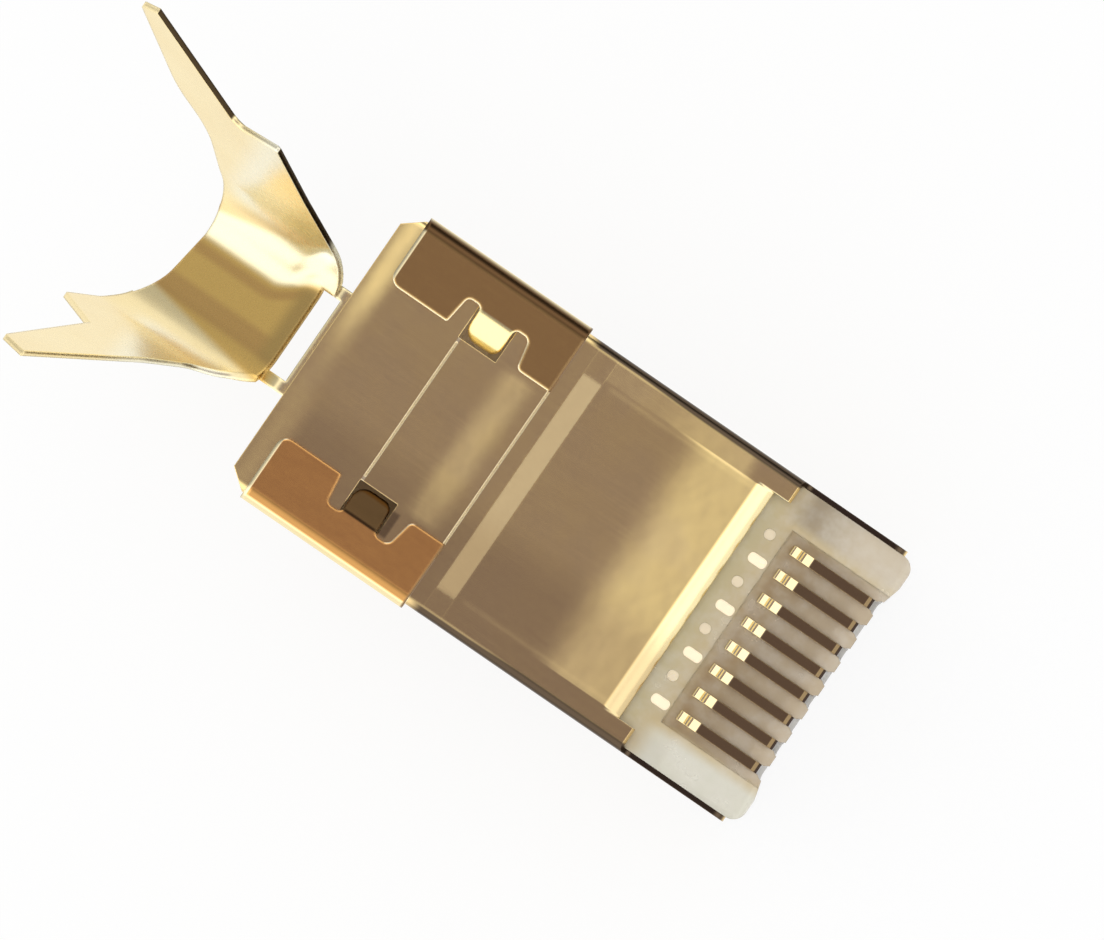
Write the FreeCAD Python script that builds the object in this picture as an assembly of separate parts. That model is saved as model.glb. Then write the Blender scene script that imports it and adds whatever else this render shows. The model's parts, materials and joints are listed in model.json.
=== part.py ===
"""Shielded eight-way modular plug: clear housing, folded gold sheet shell and a crimp-on cable clamp.

Millimetres. The plug is drawn level: X runs from the rear edge of the shell to the nose, Y across,
Z up towards the contact side, with Z = 0 on the latch side of the part that enters a jack.
At the end every piece is laid down together, contact side up, as the plug comes to rest on a table:
on the lower edge of its nose and the tip of its latch.
"""

import FreeCAD, Part
import math
import os

from FreeCAD import Vector

# ---- driving dimensions ----
SHEET = 0.2                   # thickness of both stamped sheets
WAYS = 8                      # contacts
PITCH = 1.02                  # between contacts
BEYOND = 12.0                 # reach of a cutting shape past the plug

NOSE_X = 21.85                # front of the comb between the cheeks
CHEEK_X = 22.1                # front of the two cheeks beside it
HOUSING_REAR_X = 0.25
STEP_X = (8.4, 9.2)           # slope between the cable section and the jack section
LIP_X = 15.78                 # the contact-side sheet starts to curl down here
CORE_HALF = 5.65              # half width of the plastic housing
JACK_Z = (0.0, 6.6)           # outside of the jack section, over the sheet
CABLE_Z = (-1.15, 6.95)       # cable section: plastic on the latch side, sheet on the contact side
TOP_ROUND = 0.15              # long edges of the housing, contact side
LOW_ROUND = 0.3               # long edges of the housing, latch side
REAR_CHAMFER = (0.75, 0.6)    # rear corners seen from above: along X and across
NOSE_ROUND = 0.55             # nose corners seen from above
NOSE_LOW_ROUND = 0.25         # lower edge of the nose
KEEL_HALF = 3.3               # raised strip of the housing between the sheet's returns

FACE_Z = 6.15                 # bare plastic in front of the sheet
COMB_Z = 6.0                  # tops of the ribs between contacts
COMB_X = 17.75
COMB_HALF = 4.15
CHEEK_FLANK = 0.45            # slope between comb and cheek, to each side of the comb's edge
MOUTH_R = 0.3                 # flare of each comb slot at the nose
SHOULDER_X = 17.0             # the sheet's front corners reach this far
LIP_HALF = 4.9                # half width of the curled lip
LIP_R = 1.0                   # outside radius of its curl
LIP_TURN = 42.0               # degrees
WALL_END_X = 21.6             # side walls of the sheet
WALL_TOP_Z = 5.95             # their upper edge in front of the shoulders
WALL_LOW_Z = -0.6             # their lower edge at the cable section
RETURN_X = (9.3, 18.6)        # where the side walls turn in under the latch side
RETURN_Y = 3.4

CAVITY_HALF = 4.75
CAVITY_Z = (-0.35, 5.95)
THROAT_X = (10.2, 11.1)       # the cavity narrows to the seat of the load bar
SEAT_PLAY = 0.06
BAR_X = (11.15, 16.05)        # load bar, front end against the wire channels
BAR_HALF = 4.5
BAR_Z = (1.5, 4.5)
ROW_Z = (3.6, 2.4)            # upper and lower row of wires
WIRE_R = 0.55
FLUTE_R = 0.42                # flutes on the load bar
FLUTE_LENGTH = 3.4
CHANNEL_END_X = 21.05
POCKET_DEPTH = 0.5            # sight pockets over the wire channels
POCKET_X = (16.95, 17.7)
POCKET_R = 0.2

BLADE_T = 0.38                # contact blade
BLADE_X = (18.12, 21.6)
BLADE_TOP_Z = 6.28
HUMP = 0.17                   # height of the two teeth at the rear of each blade
TOE = 0.12                    # bevel, then low ledge at its front
TOE_DROP = 0.4
POINT_HIGH = 0.85             # insulation-piercing points
POINTS = 3

PIVOT_X = 20.5                # flexing root of the latch
PIVOT_Z = -0.02
ROOT_R = 0.36
ROOT_GAP = 0.06
LATCH_WIDE = 3.1              # half width in front of the locking shoulders
LATCH_NARROW = 1.62           # half width of the finger tab
LOCK_X = 13.6                 # locking shoulders
TIP_X = 7.35
TIP_Z = -4.85
TIP_R = 0.35

CLIP_X = (0.8, 7.8)           # flaps and sides of the rear bracket
FLAP_Y = 3.3                  # inner edge of each flap
NOTCH_Y = 4.45
TONGUE_X = (4.08, 5.52)
TONGUE_Y = 3.22               # tip of each tongue
TONGUE_ROOT_Y = 4.3
TONGUE_DROP = 0.6             # tip below the flap
WINDOW_X = (4.0, 5.6)         # windows that the tongues bend into
WINDOW_Y = (3.08, 4.4)
SCORE_X = (4.03, 7.73)        # fine score lines across the contact-side sheet
SCORE_HALF = (2.9, 3.9)
SCORE_WIDE = 0.06
SCORE_DEPTH = 0.05

TAIL_X = 0.15                 # rear edge of the bracket's base
NECK_HALF = 2.25              # neck between the base and its cable clamp
SLOT_HALF = 1.75
BEND_X = -0.5
BEND_R = 0.5                  # to the middle of the sheet
CLAMP_BEND = 40.0             # degrees, away from the contact side
WING_LEAN = 20.0              # degrees outwards
TROUGH_CORNER = 2.7           # half width at which the lines of floor and flank would meet
TROUGH_R = 2.0                # to the middle of the sheet
CLAMP_SET = 0.2               # the clamp's outline is measured from this far in front of the bend
CLAMP_FRONT = -0.93           # front edge of the clamp's floor
FLOOR_HALF = 2.2              # the wings are cut to shape outside this


# ---- helpers ----
def on_plane(axis, level):
    """Map a pair of coordinates to a point on the plane square to an axis."""
    places = {
        "x": lambda a, b: Vector(level, a, b),
        "y": lambda a, b: Vector(a, level, b),
        "z": lambda a, b: Vector(a, b, level),
    }
    return places[axis]


def rounded_wire(corners, place):
    """Closed outline through corners (a, b) or (a, b, radius), each radius as an arc."""
    points = [Vector(c[0], c[1], 0) for c in corners]
    radii = [c[2] if len(c) > 2 else 0.0 for c in corners]
    stretches = []
    for i, corner in enumerate(points):
        if radii[i] == 0:
            stretches.append((corner, corner, corner))
            continue
        before = (points[i - 1] - corner).normalize()
        after = (points[(i + 1) % len(points)] - corner).normalize()
        half = before.getAngle(after) / 2
        run = radii[i] / math.tan(half)
        centre = corner + (before + after).normalize() * (radii[i] / math.sin(half))
        middle = centre + (corner - centre).normalize() * radii[i]
        stretches.append((corner + before * run, middle, corner + after * run))
    edges = []
    for i, (start, middle, stop) in enumerate(stretches):
        if radii[i] > 0:
            arc = [place(p.x, p.y) for p in (start, middle, stop)]
            edges.append(Part.Arc(*arc).toShape())
        following = stretches[(i + 1) % len(stretches)][0]
        if (following - stop).Length > 1e-6:
            edges.append(Part.LineSegment(place(stop.x, stop.y), place(following.x, following.y)).toShape())
    return Part.Wire(edges)


def prism(corners, axis, start, stop):
    """Outline on the plane square to an axis, pulled along that axis from start to stop."""
    directions = {"x": Vector(1, 0, 0), "y": Vector(0, 1, 0), "z": Vector(0, 0, 1)}
    face = Part.Face(rounded_wire(corners, on_plane(axis, start)))
    return face.extrude(directions[axis] * (stop - start))


def block(x, y, z):
    """Box between pairs of limits."""
    return Part.makeBox(x[1] - x[0], y[1] - y[0], z[1] - z[0], Vector(x[0], y[0], z[0]))


def bar_across(x, z, radius, half):
    """Round bar across the plug."""
    return Part.makeCylinder(radius, 2 * half, Vector(x, -half, z), Vector(0, 1, 0))


def hoop(half, z, low_r, high_r):
    """Rounded rectangle across the plug, as corners (y, z, radius)."""
    return [(-half, z[0], low_r), (half, z[0], low_r), (half, z[1], high_r), (-half, z[1], high_r)]


def slope(rear, front, x):
    """Solid between two hoops."""
    ends = [rounded_wire(rear, on_plane("x", x[0])), rounded_wire(front, on_plane("x", x[1]))]
    return Part.makeLoft(ends, True, True)


def both_sides(shape):
    """A shape and its mirror image across the plug's centre plane."""
    return [shape, shape.mirror(Vector(0, 0, 0), Vector(0, 1, 0))]


def way_y(way):
    """Middle of one contact, counted from 0."""
    return (way - (WAYS - 1) / 2) * PITCH


def way_row(way):
    """Height of the wire under one contact: the wires lie in two staggered rows."""
    return ROW_Z[way % 2]


def plug_form(grow):
    """Outer form of the housing, larger all round by grow."""
    half = CORE_HALF + grow
    rounds = (LOW_ROUND + grow, TOP_ROUND + grow)
    rear = hoop(half, (CABLE_Z[0] - grow, CABLE_Z[1] - SHEET + grow), *rounds)
    front = hoop(half, (JACK_Z[0] + SHEET - grow, JACK_Z[1] - SHEET + grow), *rounds)
    ahead = [slope(rear, front, STEP_X), prism(front, "x", STEP_X[1], CHEEK_X)]
    return prism(rear, "x", 0, STEP_X[0]).fuse(ahead).removeSplitter()


def tongue_windows():
    """The two windows that the bracket's tongues bend into, through the sheet and the housing's roof."""
    return both_sides(block(WINDOW_X, WINDOW_Y, (CAVITY_Z[1] - 0.5, BEYOND)))


def rear_corners(half):
    """What is taken off the two rear corners of a piece of that half width."""
    long, wide = REAR_CHAMFER
    corner = [(-1, half - wide), (0, half - wide), (long, half), (long, BEYOND), (-1, BEYOND)]
    return both_sides(prism(corner, "z", -BEYOND, BEYOND))


def curl_bar(radius):
    """Round bar on the axis of the lip's curl."""
    return bar_across(LIP_X, JACK_Z[1] - LIP_R, radius, LIP_HALF)


# ---- housing ----
def above_face():
    """What is taken off the housing's contact side to clear the curled lip and bare the front."""
    ahead = block((LIP_X, NOSE_X + 1), (-LIP_HALF, LIP_HALF), (FACE_Z, BEYOND))
    shoulders = block((SHOULDER_X, NOSE_X + 1), (-BEYOND, BEYOND), (FACE_Z, BEYOND))
    return [ahead.cut(curl_bar(LIP_R - SHEET)), shoulders]


def nose_forms():
    """Rounded nose seen from above and from the side, to intersect the housing with."""
    half = CORE_HALF
    cheek_y, comb_y = COMB_HALF + CHEEK_FLANK, COMB_HALF - CHEEK_FLANK
    plan = [
        (-1, -half), (CHEEK_X, -half, NOSE_ROUND), (CHEEK_X, -cheek_y, 0.3), (NOSE_X, -comb_y, 0.4),
        (NOSE_X, comb_y, 0.4), (CHEEK_X, cheek_y, 0.3), (CHEEK_X, half, NOSE_ROUND), (-1, half),
    ]
    side = [
        (-1, -BEYOND), (STEP_X[0], -BEYOND), (STEP_X[1], JACK_Z[0]), (CHEEK_X, JACK_Z[0], NOSE_LOW_ROUND),
        (CHEEK_X, FACE_Z, 0.35), (SHOULDER_X + 1, FACE_Z), (SHOULDER_X + 0.5, BEYOND), (-1, BEYOND),
    ]
    return prism(plan, "z", -BEYOND, BEYOND), prism(side, "y", -BEYOND, BEYOND)


def comb_cuts():
    """Slots for the contacts, their flared mouths at the nose and the lowered comb between the cheeks."""
    cuts = [block((COMB_X, NOSE_X + 1), (-COMB_HALF, COMB_HALF), (COMB_Z, BEYOND))]
    for way in range(WAYS):
        y = way_y(way)
        across = (y - BLADE_T / 2, y + BLADE_T / 2)
        cuts.append(block((BLADE_X[0], NOSE_X + 1), across, (way_row(way), BEYOND)))
        cuts.append(Part.makeCylinder(MOUTH_R, BEYOND, Vector(NOSE_X + 0.06, y, ROW_Z[0] - 0.3)))
    return cuts


def wire_cuts():
    """Two staggered rows of wire channels, with a small sight pocket over each: long, short, long, short."""
    cuts = []
    for way in range(WAYS):
        y = way_y(way)
        length = CHANNEL_END_X - BAR_X[1]
        cuts.append(Part.makeCylinder(WIRE_R, length, Vector(BAR_X[1], y, way_row(way)), Vector(1, 0, 0)))
        front = POCKET_X[1] if way_row(way) == ROW_Z[0] else POCKET_X[0] + 2.1 * POCKET_R
        side = (y - POCKET_R, y + POCKET_R)
        pocket = [(x, s, 0.95 * POCKET_R) for x, s in ((POCKET_X[0], side[0]), (front, side[0]),
                                                      (front, side[1]), (POCKET_X[0], side[1]))]
        cuts.append(prism(pocket, "z", FACE_Z - POCKET_DEPTH, BEYOND))
    return cuts


def cavity_cuts():
    """Cable cavity from the rear, narrowing to the seat of the load bar."""
    wide = hoop(CAVITY_HALF, CAVITY_Z, 0.6, 0.6)
    narrow = hoop(BAR_HALF + SEAT_PLAY, (BAR_Z[0], BAR_Z[1] + SEAT_PLAY), 0.15, 0.3)
    mouth = hoop(CAVITY_HALF + 0.35, (CAVITY_Z[0] - 0.35, CAVITY_Z[1] + 0.35), 0.9, 0.9)
    return [
        slope(mouth, wide, (HOUSING_REAR_X, HOUSING_REAR_X + 0.45)),
        prism(wide, "x", HOUSING_REAR_X + 0.4, THROAT_X[0]),
        slope(wide, narrow, THROAT_X),
        prism(narrow, "x", THROAT_X[1], BAR_X[1]),
    ]


def latch_pocket():
    """Room for the latch's root in the latch side, with a little relief behind it."""
    half = LATCH_WIDE + 0.3
    round_part = bar_across(PIVOT_X, PIVOT_Z, ROOT_R + ROOT_GAP, half)
    return [round_part, block((PIVOT_X - 1.0, PIVOT_X), (-half, half), (-1, 0.12))]


def housing():
    """Clear plastic body: cable cavity from the rear, bar seat, wire channels and contact comb."""
    body = plug_form(0.0).cut(block((-1, HOUSING_REAR_X), (-BEYOND, BEYOND), (-BEYOND, BEYOND)))
    keel = block((STEP_X[1], NOSE_X), (-KEEL_HALF, KEEL_HALF), (JACK_Z[0], JACK_Z[0] + 2 * SHEET))
    body = body.fuse(keel).cut(above_face() + rear_corners(CORE_HALF))
    for form in nose_forms():
        body = body.common(form)
    return body.cut(cavity_cuts() + latch_pocket() + tongue_windows() + comb_cuts() + wire_cuts())


# ---- latch ----
def latch_lever():
    """Latch lever: flexing root, wide part with locking shoulders, narrow finger tab with a rolled tip."""
    side = [
        (PIVOT_X, PIVOT_Z + 0.2), (PIVOT_X - 0.9, PIVOT_Z - 0.22, 0.3), (LOCK_X, -1.49, 2.5),
        (TIP_X - 0.1, TIP_Z + 0.62, 0.6), (TIP_X, TIP_Z - 0.9 * TIP_R), (LOCK_X, -2.4, 2.5),
        (PIVOT_X - 1.2, -0.82, 1.5), (PIVOT_X + 0.15, PIVOT_Z - 0.3),
    ]
    blade = prism(side, "y", -LATCH_WIDE, LATCH_WIDE)
    root = bar_across(PIVOT_X, PIVOT_Z, ROOT_R, LATCH_WIDE)
    tip = bar_across(TIP_X, TIP_Z, TIP_R, LATCH_WIDE)
    plan = [
        (PIVOT_X + 1, -LATCH_WIDE), (PIVOT_X + 1, LATCH_WIDE), (LOCK_X, LATCH_WIDE, 0.15),
        (LOCK_X, LATCH_NARROW, 0.35), (TIP_X - 1, LATCH_NARROW), (TIP_X - 1, -LATCH_NARROW),
        (LOCK_X, -LATCH_NARROW, 0.35), (LOCK_X, -LATCH_WIDE, 0.15),
    ]
    return blade.fuse([root, tip]).common(prism(plan, "z", -BEYOND, BEYOND)).removeSplitter()


# ---- load bar ----
def load_bar():
    """Loose wire holder: two staggered rows of holes, fluted on top between the upper ones."""
    bar = prism(hoop(BAR_HALF, BAR_Z, 0.15, 0.3), "x", *BAR_X)
    cuts = []
    for way in range(WAYS):
        y = way_y(way)
        cuts.append(Part.makeCylinder(WIRE_R, BEYOND, Vector(BAR_X[0] - 1, y, way_row(way)), Vector(1, 0, 0)))
        if way_row(way) == ROW_Z[1]:
            start = Vector(BAR_X[0] - 1, y, BAR_Z[1] + 0.08)
            cuts.append(Part.makeCylinder(FLUTE_R, FLUTE_LENGTH + 1, start, Vector(1, 0, 0)))
    return bar.cut(cuts)


# ---- contacts ----
def contact(way):
    """One stamped contact blade: two raked teeth at the rear, stepped toe, insulation-piercing points."""
    rear, front = BLADE_X
    tip = way_row(way) + WIRE_R + 0.08
    body = tip + POINT_HIGH
    high = BLADE_TOP_Z + HUMP
    step = (front - rear - 0.5) / POINTS
    outline = [
        (rear, body), (rear, high, 0.05), (rear + 0.1, high), (rear + 0.36, BLADE_TOP_Z + 0.03),
        (rear + 0.42, BLADE_TOP_Z + 0.03), (rear + 0.46, high), (rear + 0.54, high),
        (rear + 0.84, BLADE_TOP_Z), (front - 2 * TOE, BLADE_TOP_Z), (front - TOE, BLADE_TOP_Z - TOE),
        (front - TOE, BLADE_TOP_Z - TOE_DROP), (front, BLADE_TOP_Z - TOE_DROP, 0.1),
        (front, body), (front - 0.25, body),
    ]
    for point in range(POINTS):
        right = front - 0.25 - point * step
        outline += [(right - step / 2, tip), (right - step, body)]
    y = way_y(way)
    return prism(outline, "y", y - BLADE_T / 2, y + BLADE_T / 2)


# ---- contact-side shield ----
def curled_lip():
    """Front edge of the contact-side sheet, curled down over the housing."""
    axis_z = JACK_Z[1] - LIP_R
    reach = 2 * LIP_R * math.tan(math.radians(LIP_TURN))
    wedge = [(LIP_X, axis_z), (LIP_X + reach, axis_z + 2 * LIP_R), (LIP_X, axis_z + 2 * LIP_R)]
    return curl_bar(LIP_R).cut(curl_bar(LIP_R - SHEET)).common(prism(wedge, "y", -LIP_HALF, LIP_HALF))


def contact_side_shield():
    """Sheet over the contact side and both flanks, with two windows, score lines and a curled lip."""
    skin = plug_form(SHEET).cut(plug_form(0.0))
    side = [
        (0, WALL_LOW_Z), (STEP_X[0], WALL_LOW_Z), (STEP_X[1], JACK_Z[0]), (RETURN_X[1], JACK_Z[0]),
        (RETURN_X[1], 0.6), (WALL_END_X, 0.6, 0.3), (WALL_END_X, WALL_TOP_Z, 0.5),
        (SHOULDER_X + 0.35, WALL_TOP_Z, 0.3), (SHOULDER_X, JACK_Z[1] + 0.1, 0.05), (SHOULDER_X, BEYOND),
        (0, BEYOND),
    ]
    skin = skin.common(prism(side, "y", -BEYOND, BEYOND))
    low = (-BEYOND, JACK_Z[0] + 3 * SHEET)
    between_returns = block((0, BEYOND * 2), (-RETURN_Y, RETURN_Y), low)
    flat_low = CORE_HALF - LOW_ROUND
    behind_returns = block((STEP_X[1] - 0.2, RETURN_X[0]), (-flat_low, flat_low), low)
    ahead = block((LIP_X, NOSE_X), (-LIP_HALF, LIP_HALF), (JACK_Z[1] - 1, BEYOND))
    trims = [between_returns, behind_returns, ahead] + rear_corners(CORE_HALF + SHEET)
    bottom = CABLE_Z[1] - SCORE_DEPTH
    scores = [block((x, x + SCORE_WIDE), (-y, y), (bottom, BEYOND)) for x, y in zip(SCORE_X, SCORE_HALF)]
    return skin.cut(trims + tongue_windows() + scores).fuse(curled_lip()).removeSplitter()


# ---- rear bracket and cable clamp ----
def flap_outline():
    """Plan outline of one folded flap, from its inner edge out past the side wall."""
    x0, x1 = CLIP_X
    t0, t1 = TONGUE_X
    return [
        (x0, BEYOND), (x0, FLAP_Y, 0.45), (3.35, FLAP_Y, 0.1), (3.5, NOTCH_Y, 0.2),
        (t0, NOTCH_Y, 0.2), (t0, TONGUE_ROOT_Y), (t1, TONGUE_ROOT_Y), (t1, NOTCH_Y, 0.2),
        (6.12, NOTCH_Y, 0.25), (6.35, FLAP_Y, 0.25), (x1, FLAP_Y), (x1, BEYOND),
    ]


def tongue():
    """Locking tongue bent down from a flap into the window below it."""
    under = CABLE_Z[1]
    root = TONGUE_ROOT_Y
    low = under - TONGUE_DROP
    side = [
        (root + 0.1, under), (root + 0.1, under + SHEET), (root - 0.05, under + SHEET),
        (TONGUE_Y, low + 1.2 * SHEET), (TONGUE_Y, low), (root - 0.1, under),
    ]
    tip = [(TONGUE_X[0], 5), (TONGUE_X[0], TONGUE_Y, 0.5), (TONGUE_X[1], TONGUE_Y, 0.35), (TONGUE_X[1], 5)]
    return prism(side, "x", *TONGUE_X).common(prism(tip, "z", low, BEYOND))


def clip():
    """Band round the cable section: base on the latch side, two sides and two folded flaps with tongues."""
    half = CORE_HALF + SHEET
    outer = hoop(half + SHEET, (CABLE_Z[0] - SHEET, CABLE_Z[1] + SHEET), 0.7, TOP_ROUND + 2 * SHEET)
    inner = hoop(half, CABLE_Z, 0.5, TOP_ROUND + SHEET)
    band = prism(outer, "x", *CLIP_X).cut(prism(inner, "x", *CLIP_X))
    fold_z = CABLE_Z[1] - TOP_ROUND - SHEET
    flaps = []
    for flap, bent in zip(both_sides(prism(flap_outline(), "z", fold_z, BEYOND)), both_sides(tongue())):
        flaps += [band.common(flap), bent]
    return band.cut(block((-1, BEYOND), (-BEYOND, BEYOND), (fold_z, BEYOND))).fuse(flaps)


def bend_run():
    """From the bend line to where the sheet is straight again."""
    return BEND_R * math.tan(math.radians(CLAMP_BEND / 2))


def base_tail():
    """Flat rear end of the base, narrowing with two fillets to the neck."""
    start = BEND_X + bend_run()
    joint_x = CLIP_X[0] + 0.5
    plan = [
        (joint_x, -5.2), (joint_x, 5.2), (TAIL_X, 5.2, 0.6), (TAIL_X, NECK_HALF, 0.3), (start, NECK_HALF),
        (start, -NECK_HALF), (TAIL_X, -NECK_HALF, 0.3), (TAIL_X, -5.2, 0.6),
    ]
    return prism(plan, "z", CABLE_Z[0] - SHEET, CABLE_Z[0])


def neck_bend():
    """Bent stretch of the neck: two legs beside the relief slot."""
    middle = CABLE_Z[0] - SHEET / 2
    start = BEND_X + bend_run()
    section = [(SLOT_HALF, middle - SHEET / 2), (NECK_HALF, middle - SHEET / 2),
               (NECK_HALF, middle + SHEET / 2), (SLOT_HALF, middle + SHEET / 2)]
    legs = both_sides(Part.Face(rounded_wire(section, on_plane("x", start))))
    return [leg.revolve(Vector(start, 0, middle - BEND_R), Vector(0, 1, 0), -CLAMP_BEND) for leg in legs]


def trough():
    """The clamp before it is cut to shape: a floor and two leaning flanks, along X behind the bend."""
    lean = math.tan(math.radians(WING_LEAN))
    slant = SHEET / 2 / math.cos(math.radians(WING_LEAN))
    solids = []
    for side in (1, -1):
        low = -side * SHEET / 2
        near = TROUGH_CORNER + side * slant
        foot = (near + low * lean, low, TROUGH_R + side * SHEET / 2)
        top = (near + BEYOND * lean, BEYOND)
        solids.append(prism([(-top[0], top[1]), (-foot[0], foot[1], foot[2]), foot, top], "x", -10, -0.1))
    return solids[0].cut(solids[1])


def clamp():
    """Cable clamp: a trough with one long tooth on each wing, staggered to pass each other when crimped."""
    stock = trough()
    front = CLAMP_FRONT
    floor = [
        (front, -FLOOR_HALF), (front, SLOT_HALF), (-0.2, SLOT_HALF), (-0.2, FLOOR_HALF), (-7.1, FLOOR_HALF),
        (-7.05, 1.0, 1.5), (-7.45, -1.0, 2.0), (-8.15, -FLOOR_HALF),
    ]
    near = [
        (-0.2, -0.3), (-0.2, 0.21), (-0.5, 1.2, 0.8), (-0.85, 3.6, 3.0), (-1.02, 6.3, 0.15),
        (-3.45, 6.05, 0.6), (-5.45, 10.85), (-6.55, 10.6, 0.2), (-6.95, 6.1, 2.5), (-6.1, 4.3, 2.5),
        (-6.85, 1.7, 2.5), (-7.1, 0.21), (-7.1, -0.3),
    ]
    far = [
        (front, -0.3), (front, 0.21), (-1.8, 0.6, 0.8), (-2.8, 1.4, 1.2), (-2.95, 3.6, 3.0), (-2.55, 9.75),
        (-4.05, 9.4, 0.15), (-5.95, 3.85), (-8.7, 2.75, 0.1), (-8.55, 0.8, 1.0), (-8.15, 0.21), (-8.15, -0.3),
    ]
    near_wing = stock.common(prism(near, "y", FLOOR_HALF, BEYOND))
    far_wing = stock.common(prism(far, "y", -BEYOND, -FLOOR_HALF))
    leg_x = (front - 0.1, -bend_run() - CLAMP_SET)
    legs = both_sides(block(leg_x, (SLOT_HALF, NECK_HALF), (-SHEET / 2, SHEET / 2)))
    whole = stock.common(prism(floor, "z", -1, 2)).fuse([near_wing, far_wing] + legs)
    hinge = Vector(BEND_X, 0, CABLE_Z[0] - SHEET / 2)
    whole.translate(hinge + Vector(CLAMP_SET, 0, 0))
    whole.rotate(hinge, Vector(0, 1, 0), -CLAMP_BEND)
    return whole


def cable_bracket():
    """Rear bracket and cable clamp, one folded sheet."""
    return clip().fuse([base_tail()] + neck_bend() + [clamp()]).removeSplitter()


# ---- assembly ----
def pieces():
    """Every piece of the plug by name."""
    made = {"housing": housing(), "latch_lever": latch_lever(), "load_bar": load_bar()}
    for way in range(WAYS):
        made["contact_%d" % (way + 1)] = contact(way)
    made["contact_side_shield"] = contact_side_shield()
    made["cable_bracket"] = cable_bracket()
    return made


def resting_angle():
    """Degrees, nose down: the table touches the rounded lower edge of the nose and the latch's rolled tip."""
    ahead = CHEEK_X - NOSE_LOW_ROUND - TIP_X
    above = JACK_Z[0] + NOSE_LOW_ROUND - TIP_Z
    line = math.atan2(above, ahead)
    return math.degrees(line - math.asin((NOSE_LOW_ROUND - TIP_R) / math.hypot(ahead, above)))


def laid_down(made):
    """Turn all pieces into the resting attitude and stand the box round them on the origin."""
    for shape in made.values():
        shape.rotate(Vector(0, 0, 0), Vector(0, 1, 0), resting_angle())
    whole = Part.Compound(list(made.values())).optimalBoundingBox(True, False)
    shift = Vector(-(whole.XMin + whole.XMax) / 2, -(whole.YMin + whole.YMax) / 2, -whole.ZMin)
    print("laid down: %.4f degrees, shift %.4f %.4f %.4f" % (resting_angle(), shift.x, shift.y, shift.z))
    for shape in made.values():
        shape.translate(shift)
    return made


def write_parts():
    """Write one STEP file for each piece."""
    os.makedirs("parts", exist_ok=True)
    for name, shape in laid_down(pieces()).items():
        if len(shape.Solids) != 1:
            raise ValueError("%s has %d solids" % (name, len(shape.Solids)))
        solid = shape.Solids[0]
        solid.exportStep("parts/%s.step" % name)
        print("%-20s %8.2f mm3 valid %s" % (name, solid.Volume, solid.isValid()))


write_parts()
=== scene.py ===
"""Shielded modular plug: gold-plated sheet, gold contacts and clear moulded plastic on a pale stage.

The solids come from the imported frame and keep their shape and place. This file gives them their
finishes, lays a pale floor under them, lights them softly and sets the camera over the contact side.
Places on the plug are given level, in millimetres: x from the rear edge of the shell to the nose,
y across, z up towards the contact side. The plug itself lies nose down on the floor.
The finishes are built from masks, values that are 1 in one place on the plug and ease to 0 round it.
Lower and upper mean the sides towards -Y and +Y.
"""

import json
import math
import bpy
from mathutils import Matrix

bl_info = {
    "name": "Modular Plug",
    "version": (1, 0, 0),
    "blender": (4, 5, 0),
    "location": "View3D > Sidebar > Modular Plug",
    "description": "Finishes, stage and camera for a shielded modular plug",
    "category": "Object",
}

import bpy
from bpy.props import FloatProperty, FloatVectorProperty, PointerProperty
from mathutils import Matrix, Vector

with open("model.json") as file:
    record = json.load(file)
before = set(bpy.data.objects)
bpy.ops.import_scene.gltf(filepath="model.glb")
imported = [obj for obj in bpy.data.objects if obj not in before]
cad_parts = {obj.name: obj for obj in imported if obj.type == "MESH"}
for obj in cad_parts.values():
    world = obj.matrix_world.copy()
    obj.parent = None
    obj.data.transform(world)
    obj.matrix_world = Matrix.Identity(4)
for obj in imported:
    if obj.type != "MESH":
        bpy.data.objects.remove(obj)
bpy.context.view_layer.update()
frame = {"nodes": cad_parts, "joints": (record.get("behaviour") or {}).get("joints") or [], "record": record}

MM = 0.001

# ---- places on the level plug ----
LATCH_ROOT = Vector((20.5, 0.0, -0.02))     # hinge of the latch
CONTACTS = ["contact_%d" % (way + 1) for way in range(8)]
PITCH = 1.02                                # between contacts
HALVES_Y = (-1.0, 1.0)                      # tones of the lower half turn into those of the upper
CORE_HALF = 5.65                            # half width of the housing

PANEL_HALF = 4.85                           # half width of the sheet between its outer strips
PANEL_Z = (5.6, 5.8)                        # the contact side of the sheet begins here
REAR_X = (0.0, 0.95)                        # sheet behind the flaps
CREASE_X = (5.9, 7.3)                       # shallow crease between the flaps
MIDDLE_Y = (2.9, 3.5)                       # crease and score lines fade out here
SCORES_X = (4.03, 7.73)                     # lines scored across the cable section
STEP_X = (8.4, 9.2)                         # slope between the cable and the jack section
DIP_X = (11.9, 14.1)                        # the sheet begins to dip towards its lip
LIP_X = (15.78, 16.42)                      # curled front edge of the sheet
SHOULDER_X = (17.0, 17.15)                  # the sheet's front corners end here

FLAP_X = (0.8, 7.8)                         # folded flaps of the bracket
FOLD_HALF = 5.66                            # the flaps fold down outside of this
CREST_Z = 7.15                              # top of the flaps
WINDOW_X = (4.0, 5.6)                       # windows and the tongues bent down into them
TONGUE_HALF = 4.36                          # the tongues bend down inside of this
NOTCH_X = 6.25                              # notches in front of the tongues

CLAMP_FRONT_X = -0.93                       # front edge of the cable clamp
CLAMP_NECK_X = (-2.0, -1.4)                 # the clamp runs out into its neck
CLAMP_NECK_HALF = 1.6
CLAMP_RISE_X = (-2.8, -1.0)                 # its stripes turn towards +Y here
CLAMP_RISE = 0.85
# the clamp's stripes are painted reflections of its trough: dark stripes and a bright painted highlight
CLAMP_DARK_STRIPE_Y = (-1.6, -0.75)              # stripes along its trough
CLAMP_SIDE_STRIPE_Y = (0.3, 0.7)
CLAMP_HIGHLIGHT_Y = (0.75, 1.1)
# the wings are painted paler from here on: a painted sheen
CLAMP_WING_X = (-6.6, -5.2)                 # its two wings turn pale here
CLAMP_WING_Y = (2.5, 3.0)

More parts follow.
